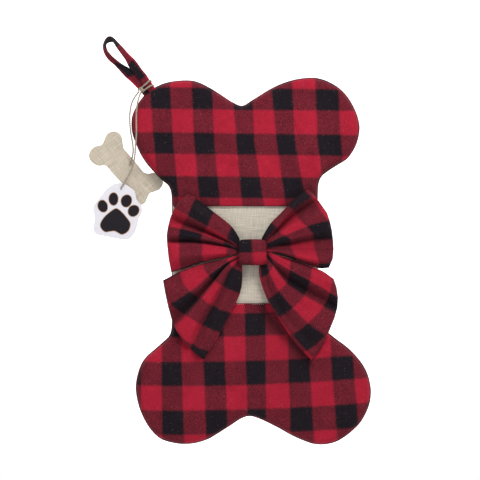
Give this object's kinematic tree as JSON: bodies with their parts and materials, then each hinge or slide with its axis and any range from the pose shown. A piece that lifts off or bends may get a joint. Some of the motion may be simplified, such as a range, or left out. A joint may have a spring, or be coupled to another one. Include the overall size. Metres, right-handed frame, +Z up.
{
  "type": "hanging stocking",
  "caption": "Flat dog-bone-shaped fabric stocking with a tape hanging loop, a front bow, a pocket opening under the upper panel's hem, and two flat tags on twine.",
  "frame": {"origin": "the point at the top of the hanging loop's eye where a hook carries it", "axes": "+Z up, -Y out of the decorated front, +X to the viewer's right"},
  "size_m": [0.3531, 0.039, 0.5099],
  "materials": {
    "plaid_flannel": "brushed flannel in red and black check",
    "linen": "plain woven natural linen",
    "lining_cotton": "plain cotton lining",
    "batting": "thin white wadding",
    "jute_twine": "two-ply twine",
    "tag_board": "stiff backing under linen",
    "white_wood": "matt white paint",
    "black_felt": "matt black"
  },
  "bodies": {
    "hanging_loop": {"hanging_loop": "plaid_flannel"},
    "stocking": {"head_front_panel": "plaid_flannel", "head_front_batting": "batting", "head_front_lining": "lining_cotton", "foot_front_panel": "plaid_flannel", "foot_front_batting": "batting", "linen_shaft_panel": "linen", "pocket_front_lining": "lining_cotton", "back_panel": "plaid_flannel", "back_batting": "batting", "back_lining": "lining_cotton", "side_seam_allowance": "plaid_flannel", "loop_tape_root": "plaid_flannel", "twine_wraps": "jute_twine", "twine_knot": "jute_twine", "bow_knot_wrap": "plaid_flannel", "bow_gathered_centre": "plaid_flannel"},
    "mouth_flap": {"mouth_flap": "plaid_flannel", "mouth_flap_hem_facing": "plaid_flannel"},
    "bow_loop_left": {"bow_loop_left": "plaid_flannel"},
    "bow_loop_right": {"bow_loop_right": "plaid_flannel"},
    "bow_tail_left": {"bow_tail_left": "plaid_flannel"},
    "bow_tail_right": {"bow_tail_right": "plaid_flannel"},
    "twine": {"twine_to_bone_tag": "jute_twine", "twine_to_paw_tag": "jute_twine"},
    "bone_tag": {"bone_tag_linen": "linen", "bone_tag_backing": "tag_board"},
    "paw_tag": {"paw_tag_plate": "white_wood", "paw_tag_palm_pad": "black_felt", "paw_tag_toe_pads": "black_felt"}
  },
  "joints": [
    {"name": "stocking_swings_from_loop", "type": "hinge", "parent": "hanging_loop", "child": "stocking", "pos_m": [0.0374, -0.0032, -0.0481], "axis": [0.779, 0, 0.627], "range_deg": [-25, 25]},
    {"name": "mouth_flap_lifts", "type": "hinge", "parent": "stocking", "child": "mouth_flap", "pos_m": [0.1666, -0.0096, -0.1714], "axis": [-1, 0, 0], "range_deg": [0, 45], "stiffness_Nm_per_rad": 0.03},
    {"name": "bow_loop_left_bends", "type": "hinge", "parent": "stocking", "child": "bow_loop_left", "pos_m": [0.1571, -0.022, -0.2608], "axis": [0.8, 0, 0.6], "range_deg": [0, 32], "stiffness_Nm_per_rad": 0.05},
    {"name": "bow_loop_right_bends", "type": "hinge", "parent": "stocking", "child": "bow_loop_right", "pos_m": [0.1949, -0.022, -0.257], "axis": [0.8, 0, -0.6], "range_deg": [0, 32], "stiffness_Nm_per_rad": 0.05},
    {"name": "bow_tail_left_lifts", "type": "hinge", "parent": "stocking", "child": "bow_tail_left", "pos_m": [0.1125, -0.02, -0.2655], "axis": [-1, 0, 0], "range_deg": [0, 34]},
    {"name": "bow_tail_right_lifts", "type": "hinge", "parent": "stocking", "child": "bow_tail_right", "pos_m": [0.236, -0.02, -0.264], "axis": [-1, 0, 0], "range_deg": [0, 34]},
    {"name": "twine_swings_sideways", "type": "hinge", "parent": "stocking", "child": "twine", "pos_m": [0.0379, -0.0088, -0.0586], "axis": [0, 1, 0], "range_deg": [0, 30]},
    {"name": "bone_tag_sways", "type": "hinge", "parent": "twine", "child": "bone_tag", "pos_m": [0.0235, 0.0076, -0.1504], "axis": [1, 0, 0], "range_deg": [0, 20]},
    {"name": "paw_tag_sways", "type": "hinge", "parent": "twine", "child": "paw_tag", "pos_m": [0.0123, 0.0004, -0.181], "axis": [-1, 0, 0], "range_deg": [0, 30]}
  ],
  "couplings": [
    {"joint": "bow_loop_left_bends", "follows": "mouth_flap_lifts", "ratio": 0.7},
    {"joint": "bow_loop_right_bends", "follows": "mouth_flap_lifts", "ratio": 0.7}
  ]
}
